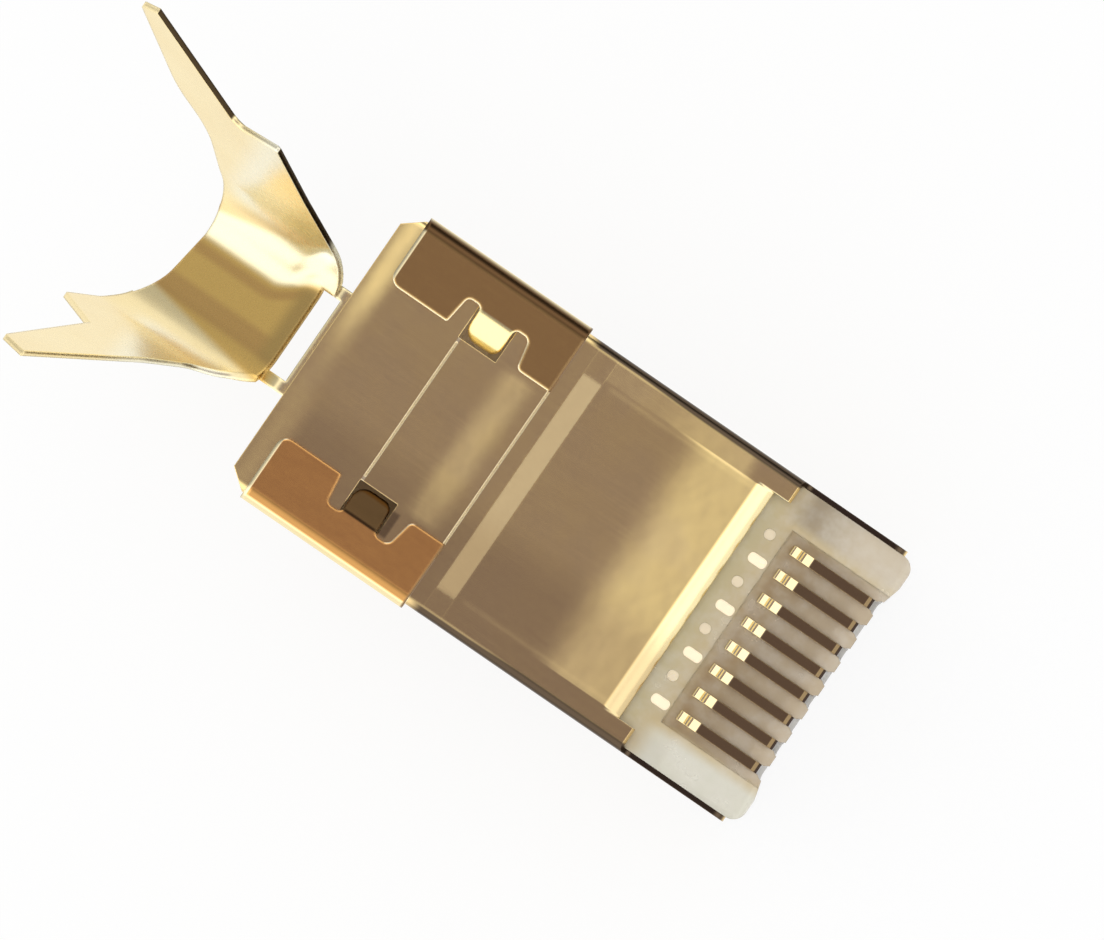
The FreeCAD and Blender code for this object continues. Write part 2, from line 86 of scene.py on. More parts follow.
FACE_Z = 6.15                               # bare plastic in front of the sheet
COMB_X = 17.9                               # ribs between the contacts begin here
COMB_HALF = 4.15
SIGHT_X = (16.95, 17.7)                     # sight pockets over the wires
SIGHT_END_Y = (3.8, 4.0)                    # their row ends here
BLADE_X = (18.12, 21.6)
TEETH_LONG = 0.85                           # from a blade's rear end to the front of its teeth
CAVITY_X = (1.0, 10.4)                      # room for the cable
CAVITY_HALF = 4.9
CAVITY_Z = (-0.45, 6.05)

# ---- leans of the pressed sheet, as slopes ----
CREASE_LEAN = 0.125
REAR_LEAN = (-0.068, -0.2)                  # lower side, upper side
STEP_LEAN = (-0.335, -0.43)                 # between the outer strips, on them
DIP_LEAN = 0.165
CURL_LEAN = 0.38
STRIP_LEAN = (0.085, 0.135)                 # rear, front
SCORE_LEAN = 0.1
RIM_LEAN = -0.08
FLAP_LEAN = -0.06
EDGE_LEAN = -0.36                           # rear edge of the flaps
RIDGE_LEAN = -0.36                          # upper side of the clamp's trough
CORNER_LEAN = 0.5                           # clamp beside its neck

# ---- tones, many of them painted light ----
SHEET_SHADE = (0.80, 0.60, 0.36)
LIP_HIGHLIGHT = (1.0, 0.84, 0.47)
SLOPE_SHADE = (0.81, 0.62, 0.33)
DARK_REFLECTION = (0.62, 0.44, 0.22)
WINDOW_SHADOW = (0.36, 0.25, 0.125)
SCORE_HIGHLIGHT = (1.0, 0.84, 0.52)
FOLD_SHADE = (0.10, 0.07, 0.045)

BRACKET_SHADE = (0.92, 0.72, 0.36)
FLAP_REFLECTION_LOWER, FLAP_REFLECTION_UPPER = (0.90, 0.46, 0.145), (0.69, 0.43, 0.155)
TONGUE_SHADE, TONGUE_HIGHLIGHT = (0.105, 0.06, 0.025), (1.0, 0.86, 0.42)
EDGE_HIGHLIGHT, EDGE_SHADE = (1.0, 0.90, 0.60), (0.20, 0.13, 0.07)
FLAP_TURN_SHADE = (0.52, 0.27, 0.085)
FLAP_REAR_HIGHLIGHT = (1.0, 0.86, 0.54)
FLAP_FRONT_SHADOW = (0.28, 0.17, 0.08)
FLAP_CROWN_SHADE = (0.13, 0.07, 0.03)

CLAMP_FLOOR = (0.90, 0.60, 0.19)
CLAMP_DARK_STRIPE = (0.72, 0.45, 0.16)
CLAMP_SIDE_STRIPE = (0.74, 0.46, 0.16)
CLAMP_HIGHLIGHT = (1.0, 0.90, 0.60)
CLAMP_BEND_SHADE = (0.82, 0.63, 0.32)
CLAMP_WING_SHEEN = (1.0, 0.97, 0.78)
CLAMP_NECK_SHADE = (0.62, 0.42, 0.15)
CLAMP_RIM_SHADE = (0.06, 0.04, 0.02)

BLADE_SHADE = (0.8, 0.55, 0.2)
BLADE_TOP_SHADE = (0.36, 0.25, 0.125)
BLADE_TOE_SHADOW = (0.06, 0.04, 0.03)

MILK, MILK_ON_FACE = (0.97, 0.96, 0.95), (1.0, 0.95, 0.85)
CAVITY_LINING = (0.84, 0.69, 0.45)          # gold sheet seen through the walls of the cavity
WINDOW_SHADE_LOWER, WINDOW_SHADE_UPPER = (0.40, 0.28, 0.16), (0.90, 0.68, 0.42)
FACE_REAR, FACE_FRONT = (0.74, 0.64, 0.38), (0.78, 0.63, 0.37)
RIB_SHADE_REAR, RIB_SHADE_FRONT = (0.50, 0.36, 0.20), (0.70, 0.56, 0.38)
CHEEK_LOWER = (0.89, 0.86, 0.71)
UPPER_CHEEK_SHADE_REAR, UPPER_CHEEK_SHADE_FRONT = (0.50, 0.41, 0.28), (0.80, 0.68, 0.50)    # of the upper cheek
SIGHT_POCKET_GLINT = (1.0, 0.98, 0.92)
SIGHT_GLOW_LONG, SIGHT_GLOW_SHORT = (1.0, 0.88, 0.64), (0.60, 0.51, 0.37)
BLACK, WHITE = (0.0, 0.0, 0.0), (1.0, 1.0, 1.0)

# ---- floor, studio and view ----
FLOOR_TONE = (0.97, 0.97, 0.97)
FLOOR_SHARE = 0.85                          # of plain white in what is seen of the floor
CEILING, WALLS = 0.27, 1.45                 # brightness that metal sees above it and round it
WALL_TILT = (math.radians(4), math.radians(46))     # from straight up, ceiling to walls
CEILING_TINT = (0.94, 0.80, 1.0)
TINT_TILT = (0.06, 0.42)                    # the tint fades out here
UPPER_WALL = 0.12                           # brightness left of the wall on the upper side
REAR_WALL = -0.68                           # change of brightness behind the clamp
VIEW_CENTRE = Vector((9.44, 1.06, 6.6))     # middle of the view, on the contact side
VIEW_WIDTH = 39.43                          # of the view, at the contact side
VIEW_TURN = math.radians(34.5)              # from the view's width to the plug's length
SENSOR_WIDTH = 36.0


# ---- the plug's own frame ----
def record_mount(name):
    """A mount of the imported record."""
    return next(mount for mount in frame["record"]["mounts"] if mount["name"] == name)


def level_to_world():
    """Matrix from the level plug in millimetres to the frame in metres."""
    along = Vector(record_mount("nose_face")["axis"]).normalized()
    across = Vector((0, 1, 0))
    up = along.cross(across)
    turn = Matrix((along, across, up)).transposed().to_4x4()
    root = Vector(frame["joints"][0]["pos_m"])
    return Matrix.Translation(root) @ turn @ Matrix.Scale(MM, 4) @ Matrix.Translation(-LATCH_ROOT)


LEVEL = level_to_world()


def direction(x, y, z):
    """A direction on the level plug, in the frame."""
    return (LEVEL.to_3x3() @ Vector((x, y, z))).normalized()


# ---- node helpers ----
def feed(tree, socket, value):
    """Link an input to a socket, or set it to a value."""
    if isinstance(value, bpy.types.NodeSocket):
        tree.links.new(value, socket)
    else:
        socket.default_value = value


def add_node(tree, kind, **values):
    """A node with its inputs linked or set by name."""
    node = tree.nodes.new(kind)
    for name, value in values.items():
        feed(tree, node.inputs[name], value)
    return node


def math_node(tree, operation, *values):
    """Output of a math node whose inputs are numbers or sockets."""
    node = tree.nodes.new("ShaderNodeMath")
    node.operation = operation
    for socket, value in zip(node.inputs, values):
        feed(tree, socket, value)
    return node.outputs[0]


def vector_node(tree, operation, *values):
    """A vector math node whose inputs are vectors or sockets."""
    node = tree.nodes.new("ShaderNodeVectorMath")
    node.operation = operation
    for socket, value in zip(node.inputs, values):
        feed(tree, socket, value)
    return node


def dot(tree, socket, vector):
    """Dot product of a direction with a second one, fixed or from a socket."""
    return vector_node(tree, "DOT_PRODUCT", socket, vector).outputs["Value"]


def absolute(tree, value):
    """A value without its sign."""
    return math_node(tree, "ABSOLUTE", value)


def opposite(tree, mask):
    """1 where a mask is 0, and 0 where it is 1."""
    return math_node(tree, "SUBTRACT", 1.0, mask)


def chain(tree, operation, first, *others):
    """One math operation over all values, from the first on."""
    for value in others:
        first = math_node(tree, operation, first, value)
    return first


def product(tree, *factors):
    """All factors multiplied."""
    return chain(tree, "MULTIPLY", *factors)


def plus(tree, *terms):
    """All terms added."""
    return chain(tree, "ADD", *terms)


def ease(tree, value, low, high, start=0.0, stop=1.0):
    """A value that eases from start to stop while another runs from low to high."""
    node = tree.nodes.new("ShaderNodeMapRange")
    node.interpolation_type = "SMOOTHSTEP"
    feed(tree, node.inputs["Value"], value)
    for name, number in (("From Min", low), ("From Max", high), ("To Min", start), ("To Max", stop)):
        node.inputs[name].default_value = number
    return node.outputs["Result"]


def fade(tree, value, low, high):
    """1 below low, easing to 0 at high."""
    return ease(tree, value, low, high, 1.0, 0.0)


def band(tree, value, low, high, soft):
    """1 between two values, easing to 0 over a width of soft at both of them."""
    rise = ease(tree, value, low - soft / 2, low + soft / 2)
    fall = fade(tree, value, high - soft / 2, high + soft / 2)
    return product(tree, rise, fall)


def mix_color(tree, amount, first, second):
    """First colour turning into the second; each is a socket or a colour."""
    node = tree.nodes.new("ShaderNodeMix")
    node.data_type = "RGBA"
    feed(tree, node.inputs[0], amount)
    for socket, color in ((node.inputs[6], first), (node.inputs[7], second)):
        feed(tree, socket, (*color, 1) if isinstance(color, tuple) else color)
    return node.outputs[2]


def paint(tree, base, layers):
    """A base colour with (mask, colour) layers laid over it in turn."""
    for mask, color in layers:
        base = mix_color(tree, mask, base, color)
    return base


def mix_shaders(tree, amount, first, second):
    """First shader turning into the second."""
    node = tree.nodes.new("ShaderNodeMixShader")
    for socket, value in zip(node.inputs, (amount, first, second)):
        feed(tree, socket, value)
    return node.outputs[0]


def arrange(tree, column=220, row=180):
    """Lay the nodes out in columns, each to the left of all that it feeds."""
    depth = {node.name: 0 for node in tree.nodes}
    links = [(link.from_node.name, link.to_node.name) for link in tree.links]
    moved = True
    while moved:
        moved = False
        for source, target in links:
            if depth[source] <= depth[target]:
                depth[source] = depth[target] + 1
                moved = True
    filled = {}
    for node in tree.nodes:
        place = depth[node.name]
        node.location = (-column * place, -row * filled.get(place, 0))
        filled[place] = filled.get(place, 0) + 1


# ---- shared effects ----
def new_group(name, inputs, outputs):
    """An empty shader node group with named sockets: (name, kind, default) in, (name, kind) out."""
    tree = bpy.data.node_groups.new(name, "ShaderNodeTree")
    for label, kind, default in inputs:
        tree.interface.new_socket(label, in_out="INPUT", socket_type=kind).default_value = default
    for label, kind in outputs:
        tree.interface.new_socket(label, in_out="OUTPUT", socket_type=kind)
    start = tree.nodes.new("NodeGroupInput") if inputs else None
    return tree, start, tree.nodes.new("NodeGroupOutput")


def level_place_group(name):
    """Level coordinates of the surface, in millimetres."""
    tree, _, stop = new_group(name, [], [
        ("Place", "NodeSocketVector"), ("X", "NodeSocketFloat"), ("Y", "NodeSocketFloat"),
        ("Z", "NodeSocketFloat")])
    back = LEVEL.inverted()
    coordinates = tree.nodes.new("ShaderNodeTexCoord")
    mapping = add_node(tree, "ShaderNodeMapping", Vector=coordinates.outputs["Object"],
                       Scale=back.to_scale(), Rotation=back.to_euler(), Location=back.to_translation())
    parts = add_node(tree, "ShaderNodeSeparateXYZ", Vector=mapping.outputs["Vector"])
    feed(tree, stop.inputs["Place"], mapping.outputs["Vector"])
    for axis in "XYZ":
        feed(tree, stop.inputs[axis], parts.outputs[axis])
    return tree


def plating_group(name):
    """Thin plating: soft cloudy tint, fine rolling lines and a few handling specks."""
    tree, start, stop = new_group(
        name,
        [("Place", "NodeSocketVector", (0, 0, 0)), ("Color", "NodeSocketColor", (0.8, 0.6, 0.3, 1)),
         ("Shade", "NodeSocketColor", (0.5, 0.35, 0.2, 1)), ("Roughness", "NodeSocketFloat", 0.25),
         ("Uneven", "NodeSocketFloat", 0.2)],
        [("Color", "NodeSocketColor"), ("Roughness", "NodeSocketFloat"), ("Height", "NodeSocketFloat")])
    given = start.outputs
    cloud = add_node(tree, "ShaderNodeTexNoise", Vector=given["Place"], Scale=0.35, Detail=3.0,
                     Roughness=0.55).outputs["Fac"]
    grain = add_node(tree, "ShaderNodeTexNoise", Vector=given["Place"], Scale=9.0, Detail=2.0,
                     Roughness=0.6).outputs["Fac"]
    lines = add_node(tree, "ShaderNodeMapping", Vector=given["Place"], Scale=(0.6, 14.0, 14.0))
    streak = add_node(tree, "ShaderNodeTexNoise", Vector=lines.outputs["Vector"], Scale=1.0, Detail=2.0,
                      Roughness=0.5).outputs["Fac"]
    amount = product(tree, ease(tree, cloud, 0.35, 0.7), given["Uneven"])
    feed(tree, stop.inputs["Color"], mix_color(tree, amount, given["Color"], given["Shade"]))
    both = plus(tree, grain, streak)
    spread = math_node(tree, "MULTIPLY_ADD", both, 0.06, -0.06)
    feed(tree, stop.inputs["Roughness"], plus(tree, given["Roughness"], spread))
    wavy = product(tree, cloud, 0.03)
    feed(tree, stop.inputs["Height"], math_node(tree, "MULTIPLY_ADD", both, 0.00015, wavy))
    return tree


def pressed_group(name):
    """How far the contact-side sheet leans: Along towards the nose, Across towards +Y, as slopes."""
    tree, start, stop = new_group(
        name, [("X", "NodeSocketFloat", 0.0), ("Y", "NodeSocketFloat", 0.0)],
        [("Along", "NodeSocketFloat"), ("Across", "NodeSocketFloat")])
    x, y = start.outputs["X"], start.outputs["Y"]
    across = absolute(tree, y)
    middle = fade(tree, across, *MIDDLE_Y)
    crease = product(tree, band(tree, x, *CREASE_X, soft=1.1), middle, CREASE_LEAN)
    rear = product(tree, band(tree, x, *REAR_X, soft=0.9), ease(tree, y, -1.0, 3.6, *REAR_LEAN))
    strip = product(tree, ease(tree, y, PANEL_HALF - 0.2, PANEL_HALF),
                    band(tree, x, STEP_X[1] - 0.3, LIP_X[0] - 0.4, soft=0.8),
                    ease(tree, x, 11.0, 13.5, *STRIP_LEAN))
    step = product(tree, ease(tree, across, PANEL_HALF - 0.35, PANEL_HALF - 0.2, *STEP_LEAN),
                   band(tree, x, *STEP_X, soft=0.04))
    scores = [product(tree, band(tree, x, place - 0.02, place + 0.08, soft=0.04), middle, SCORE_LEAN)
              for place in SCORES_X]

    # the panel dips from DIP_X on and curls down at its lip
    panel = fade(tree, across, PANEL_HALF - 0.06, PANEL_HALF)
    dip = ease(tree, x, *DIP_X, 0.0, DIP_LEAN)
    curl = ease(tree, x, LIP_X[0] - 0.1, LIP_X[0] + 0.06, 0.0, CURL_LEAN)
    uncurl = fade(tree, x, LIP_X[0] + 0.1, LIP_X[0] + 0.4)
    front = math_node(tree, "MULTIPLY_ADD", curl, uncurl, dip)
    along = math_node(tree, "MULTIPLY_ADD", front, panel, plus(tree, crease, rear, strip, step, *scores))
    feed(tree, stop.inputs["Along"], along)

    rim = product(tree, band(tree, across, PANEL_HALF - 0.36, PANEL_HALF - 0.12, soft=0.22),
                  band(tree, x, STEP_X[1] + 0.2, LIP_X[0], soft=0.4), math_node(tree, "SIGN", y), RIM_LEAN)
    feed(tree, stop.inputs["Across"], rim)
    return tree


def leaning_group(name):
    """A normal leaned along and across the plug by two slopes."""
    tree, start, stop = new_group(
        name,
        [("Normal", "NodeSocketVector", (0, 0, 1)), ("Along", "NodeSocketFloat", 0.0),
         ("Across", "NodeSocketFloat", 0.0)],
        [("Normal", "NodeSocketVector")])
    total = start.outputs["Normal"]
    for slope, way in (("Along", direction(1, 0, 0)), ("Across", direction(0, 1, 0))):
        scaled = vector_node(tree, "SCALE", way)
        feed(tree, scaled.inputs["Scale"], start.outputs[slope])
        total = vector_node(tree, "ADD", total, scaled.outputs[0]).outputs[0]
    feed(tree, stop.inputs["Normal"], vector_node(tree, "NORMALIZE", total).outputs[0])
    return tree


def rounded_edge_group(name):
    """1 where a rounded normal leaves the surface's own, along its edges."""
    tree, start, stop = new_group(
        name, [("Rounded", "NodeSocketVector", (0, 0, 1))], [("Edge", "NodeSocketFloat")])
    surface = tree.nodes.new("ShaderNodeNewGeometry")
    same = dot(tree, start.outputs["Rounded"], surface.outputs["Normal"])
    feed(tree, stop.inputs["Edge"], fade(tree, same, 0.8, 0.97))
    return tree


GROUPS = {"Level place": level_place_group, "Plating": plating_group, "Pressed sheet": pressed_group,
          "Leaning normal": leaning_group, "Rounded edge": rounded_edge_group}


def use_group(tree, name, **values):
    """A shared effect placed in a material with its own values; it is built at its first use."""
    group = bpy.data.node_groups.get(name)
    if group is None:
        group = GROUPS[name](name)
        arrange(group)
    node = tree.nodes.new("ShaderNodeGroup")
    node.node_tree = group
    for label, value in values.items():
        feed(tree, node.inputs[label], value)
    return node


# ---- gold ----
def new_material(name):
    """An empty material: its tree and its Principled shader."""
    material = bpy.data.materials.new(name)
    material.use_nodes = True
    tree = material.node_tree
    tree.nodes.clear()
    output = tree.nodes.new("ShaderNodeOutputMaterial")
    shader = tree.nodes.new("ShaderNodeBsdfPrincipled")
    feed(tree, output.inputs["Surface"], shader.outputs["BSDF"])
    return material, tree, shader


def gold_material(name, color, shade, roughness, uneven, edge):
    """Gold plating with soft unevenness and edges rounded by edge millimetres."""
    material, tree, shader = new_material(name)
    place = use_group(tree, "Level place")
    plating = use_group(tree, "Plating", Place=place.outputs["Place"], Color=(*color, 1),
                        Shade=(*shade, 1), Roughness=roughness, Uneven=uneven)
    rounded = add_node(tree, "ShaderNodeBevel", Radius=edge * MM)
    rounded.samples = 8
    relief = add_node(tree, "ShaderNodeBump", Strength=1.0, Distance=MM, Height=plating.outputs["Height"],
                      Normal=rounded.outputs["Normal"])
    shader.inputs["Metallic"].default_value = 1.0
    feed(tree, shader.inputs["Base Color"], plating.outputs["Color"])
    feed(tree, shader.inputs["Roughness"], plating.outputs["Roughness"])
    feed(tree, shader.inputs["Normal"], relief.outputs["Normal"])
    parts = {"place": place, "plating": plating, "rounded": rounded, "relief": relief}
    return material, tree, shader, parts


def lean(tree, parts, along, across):
    """Lean the rounded normal of a gold material by two slopes, under its relief."""
    leaning = use_group(tree, "Leaning normal", Normal=parts["rounded"].outputs["Normal"],
                        Along=along, Across=across)
    feed(tree, parts["relief"].inputs["Normal"], leaning.outputs["Normal"])


def roughen(tree, shader, parts, mask, amount):
    """Add to a gold material's roughness in one place."""
    rough = math_node(tree, "MULTIPLY_ADD", mask, amount, parts["plating"].outputs["Roughness"])
    feed(tree, shader.inputs["Roughness"], rough)


def sheet_material(color):
    """Plating of the contact-side sheet, with its pressed places and painted highlights, shade and
    reflections.
    """
    material, tree, shader, parts = gold_material("Gold sheet", color, SHEET_SHADE, 0.2, 0.25, 0.05)
    x, y, z = (parts["place"].outputs[axis] for axis in "XYZ")
    pressed = use_group(tree, "Pressed sheet", X=x, Y=y)
    lean(tree, parts, pressed.outputs["Along"], pressed.outputs["Across"])
    across = absolute(tree, y)
    high = ease(tree, z, *PANEL_Z)

    # the curled lip is painted a paler gold: a painted highlight
    lip_highlight = product(tree, ease(tree, x, LIP_X[0] - 0.05, LIP_X[0] + 0.05),
                  fade(tree, across, PANEL_HALF + 0.05, PANEL_HALF + 0.1))
    # the slope is painted a duller gold, painted shade that tones down its bright reflection, and made
    # rougher
    dulled_slope = product(tree, band(tree, x, STEP_X[0] + 0.02, STEP_X[1] - 0.02, soft=0.06),
                      band(tree, y, 0.12 - PANEL_HALF, PANEL_HALF - 0.3, soft=0.2), high)
    # the sheet is painted darker towards its lower side: a painted dark reflection
    dark_reflection = product(tree, ease(tree, y, -2.9, -0.8, 0.62, 0.0), ease(tree, x, 0.8, 1.5))
    # a painted shadow on the sheet just in front of the lower window
    window_shadow = product(tree, band(tree, x, WINDOW_X[1] - 0.1, WINDOW_X[1] + 0.3, soft=0.12),
                     band(tree, y, -4.35, -3.35, soft=0.15))
    # the score lines are painted a paler gold: painted highlights along them
    scores = [band(tree, x, place - 0.03, place + 0.09, soft=0.02) for place in SCORES_X]

    # the long folds in front of the flaps get painted shade at their crest, and all the way down at the nose
    widening = ease(tree, x, 10.0, 13.0, 0.0, 0.05)
    outside = ease(tree, plus(tree, across, widening), CORE_HALF - 0.12, CORE_HALF - 0.02)
    crest = ease(tree, z, FACE_Z - 0.2, FACE_Z)
    nose = product(tree, ease(tree, x, *SHOULDER_X), high)
    fold_shade = product(tree, outside, ease(tree, x, FLAP_X[1], STEP_X[0]),
                   math_node(tree, "MAXIMUM", crest, nose))

    layers = [(lip_highlight, LIP_HIGHLIGHT), (dulled_slope, SLOPE_SHADE), (dark_reflection, DARK_REFLECTION), (window_shadow, WINDOW_SHADOW)]
    layers += [(score, SCORE_HIGHLIGHT) for score in scores] + [(fold_shade, FOLD_SHADE)]
    feed(tree, shader.inputs["Base Color"], paint(tree, parts["plating"].outputs["Color"], layers))
    roughen(tree, shader, parts, dulled_slope, 0.2)
    arrange(tree)
    return material


def clamp_color(tree, x, y, raised, base):
    """Plating of the cable clamp: deep gold floor with painted stripes of reflection, painted shade, pale
    painted sheen on its wings.

    raised is y, less the turn of the stripes in front.
    """
    # painted reflections: dark stripes and a bright painted highlight along the trough
    trough = paint(tree, CLAMP_FLOOR, [
        (band(tree, y, *CLAMP_DARK_STRIPE_Y, soft=0.35), CLAMP_DARK_STRIPE),
        (band(tree, raised, *CLAMP_SIDE_STRIPE_Y, soft=0.3), CLAMP_SIDE_STRIPE),
        (ease(tree, raised, *CLAMP_HIGHLIGHT_Y), CLAMP_HIGHLIGHT)])
    upper_edge = math_node(tree, "MULTIPLY_ADD", x, -0.2, raised)
    lower_edge = math_node(tree, "MULTIPLY_ADD", x, 0.18, y)
    # the wings are painted a pale cream: a painted sheen of their bright reflection
    wing_sheen = product(tree, ease(tree, x, *CLAMP_WING_X, 0.0, 0.85),
                    ease(tree, absolute(tree, y), *CLAMP_WING_Y))
    # painted shade on the neck, where the clamp runs out towards the shell
    neck_shade = product(tree, ease(tree, x, *CLAMP_NECK_X),
                   band(tree, y, -CLAMP_NECK_HALF, CLAMP_NECK_HALF, soft=0.6))
    # painted shade across the bend up into the upper wing
    bend_shade = mix_color(tree, ease(tree, upper_edge, 3.4, 3.8), CLAMP_BEND_SHADE, base)
    return paint(tree, trough, [
        (ease(tree, upper_edge, 3.0, 3.3), bend_shade),
        (fade(tree, lower_edge, -2.85, -2.5), base),
        (wing_sheen, CLAMP_WING_SHEEN),
        (neck_shade, CLAMP_NECK_SHADE)])


def bracket_material(color):
    """Plating of the folded bracket: painted reflections and shade on the clamp and flaps, painted highlights
    on edges.
    """
    material, tree, shader, parts = gold_material("Gold bracket", color, BRACKET_SHADE, 0.2, 0.3, 0.18)
    x, y, z = (parts["place"].outputs[axis] for axis in "XYZ")
    across = absolute(tree, y)
    upper = ease(tree, y, *HALVES_Y)

    # clamp
    clamp = fade(tree, x, CLAMP_FRONT_X - 0.1, CLAMP_FRONT_X + 0.4)
    raised = math_node(tree, "SUBTRACT", y, ease(tree, x, *CLAMP_RISE_X, 0.0, CLAMP_RISE))
    surface = tree.nodes.new("ShaderNodeNewGeometry")
    facing = dot(tree, surface.outputs["Normal"], direction(1, 0, 0))
    # a painted dark line of shade on the upper wing's edge that faces the nose
    rim = product(tree, ease(tree, facing, 0.25, 0.4), ease(tree, y, 2.2, 2.5), fade(tree, x, -1.9, -1.5))

    # flaps
    # the flaps are painted coppery, a painted warm reflection, darker on the upper flap than the lower
    flap = product(tree, ease(tree, x, FLAP_X[0] - 0.6, FLAP_X[0]),
                   fade(tree, across, FOLD_HALF + 0.12, FOLD_HALF + 0.22))
    # a painted highlight on the flaps' rear edges
    rear = band(tree, x, FLAP_X[0] - 0.12, FLAP_X[0] + 0.13, soft=0.06)
    # a painted shadow along the flaps' front edges
    front = ease(tree, x, FLAP_X[1] - 0.12, FLAP_X[1] - 0.03)
    # painted shade along the fold of the lower flap, dimming its bright reflection
    turn = product(tree, ease(tree, x, FLAP_X[0] + 0.15, FLAP_X[0] + 0.25),
                   band(tree, y, -FOLD_HALF - 0.14, -FOLD_HALF + 0.14, soft=0.06))
    # painted shade on the upper flap's fold
    crown_shade = product(tree, ease(tree, y, FOLD_HALF - 0.2, FOLD_HALF - 0.04),
                    ease(tree, x, FLAP_X[0] - 0.5, FLAP_X[0]), ease(tree, z, CREST_Z - 0.5, CREST_Z - 0.15))
    # the tongues are lit and shaded copies: a bright painted highlight on the upper, painted shade on the
    # lower
    tongue = product(tree, band(tree, x, *WINDOW_X, soft=0.04),
                     fade(tree, across, TONGUE_HALF - 0.04, TONGUE_HALF + 0.04))

    # painted highlights along the edges, painted shade instead along the inner side of the lower flap but for
    # its notch
    from_notch = absolute(tree, math_node(tree, "SUBTRACT", x, NOTCH_X))
    shaded_edge = product(tree, fade(tree, across, 4.5, 4.7), ease(tree, x, FLAP_X[0] + 0.1, FLAP_X[0] + 0.4),
                   ease(tree, from_notch, 0.2, 0.35), opposite(tree, upper))
    rounded_edges = use_group(tree, "Rounded edge", Rounded=parts["rounded"].outputs["Normal"])
    painted_edge = product(tree, rounded_edges.outputs["Edge"], opposite(tree, front), opposite(tree, clamp))

    plating = parts["plating"].outputs["Color"]
    feed(tree, shader.inputs["Base Color"], paint(tree, plating, [
        (clamp, clamp_color(tree, x, y, raised, plating)),
        (flap, mix_color(tree, upper, FLAP_REFLECTION_LOWER, FLAP_REFLECTION_UPPER)),
        (painted_edge, mix_color(tree, shaded_edge, EDGE_HIGHLIGHT, EDGE_SHADE)),
        (turn, FLAP_TURN_SHADE),
        (rear, FLAP_REAR_HIGHLIGHT),
        (tongue, mix_color(tree, upper, TONGUE_SHADE, TONGUE_HIGHLIGHT)),
        (front, FLAP_FRONT_SHADOW),
        (crown_shade, FLAP_CROWN_SHADE),
        (rim, CLAMP_RIM_SHADE)]))
    roughen(tree, shader, parts, clamp, 0.08)

    lower_flap = product(tree, flap, ease(tree, y, *HALVES_Y, FLAP_LEAN, 0.0))
    ridge = product(tree, band(tree, raised, 1.0, 1.9, soft=0.6), clamp, RIDGE_LEAN)
    corner = product(tree, ease(tree, x, -2.4, -1.6), clamp, ease(tree, raised, 0.9, 1.4), CORNER_LEAN)
    lean(tree, parts, product(tree, rear, EDGE_LEAN), plus(tree, lower_flap, ridge, corner))
    arrange(tree)
    return material


def contact_material(color):
    """Plating of the contact blades: bright on the raked teeth, painted shade along the top, a painted shadow
    on the toe.
    """
    material, tree, shader, parts = gold_material("Gold contact", color, BLADE_SHADE, 0.16, 0.2, 0.03)
    x, z = parts["place"].outputs["X"], parts["place"].outputs["Z"]
    teeth_end = BLADE_X[0] + TEETH_LONG
    top = ease(tree, z, 5.4, 5.7)
    # painted shade along the blades' tops behind the teeth, where they lie deep in their slots
    slot_shade = product(tree, ease(tree, x, teeth_end - 0.03, teeth_end + 0.05), top)
    # a painted shadow on the toe at each blade's front
    toe_shadow = product(tree, ease(tree, x, BLADE_X[1] - 0.12, BLADE_X[1] - 0.08), top)
    layers = [(slot_shade, BLADE_TOP_SHADE), (toe_shadow, BLADE_TOE_SHADOW)]
    feed(tree, shader.inputs["Base Color"], paint(tree, parts["plating"].outputs["Color"], layers))
    arrange(tree)
    return material


# ---- clear plastic ----
def face_color(tree, x, y, across):
    """Colours of the plastic face: painted warmth of gold by the sheet, painted brown shade between the
    contacts, a shaded upper cheek.
    """
    # the warm tones are painted: the gold of the sheet as it would show through the plastic
    warm = mix_color(tree, ease(tree, x, LIP_X[1], COMB_X - 0.3), FACE_REAR, FACE_FRONT)
    # painted shade between the contacts, with their gold showing through the ribs
    rib_shade = mix_color(tree, ease(tree, x, COMB_X, BLADE_X[1] - 1.0), RIB_SHADE_REAR, RIB_SHADE_FRONT)
    # the upper cheek is painted darker than the lower: painted shade
    upper = mix_color(tree, ease(tree, x, COMB_X, 20.5), UPPER_CHEEK_SHADE_REAR, UPPER_CHEEK_SHADE_FRONT)
    cheek = mix_color(tree, ease(tree, y, *HALVES_Y), CHEEK_LOWER, upper)
    comb = product(tree, ease(tree, x, COMB_X - 0.4, COMB_X + 0.3),
                   fade(tree, across, COMB_HALF - 0.2, COMB_HALF + 0.1))
    side = product(tree, ease(tree, across, COMB_HALF, COMB_HALF + 0.5),
                   ease(tree, x, COMB_X - 0.9, COMB_X + 0.2))
    return paint(tree, warm, [(comb, rib_shade), (side, cheek)])


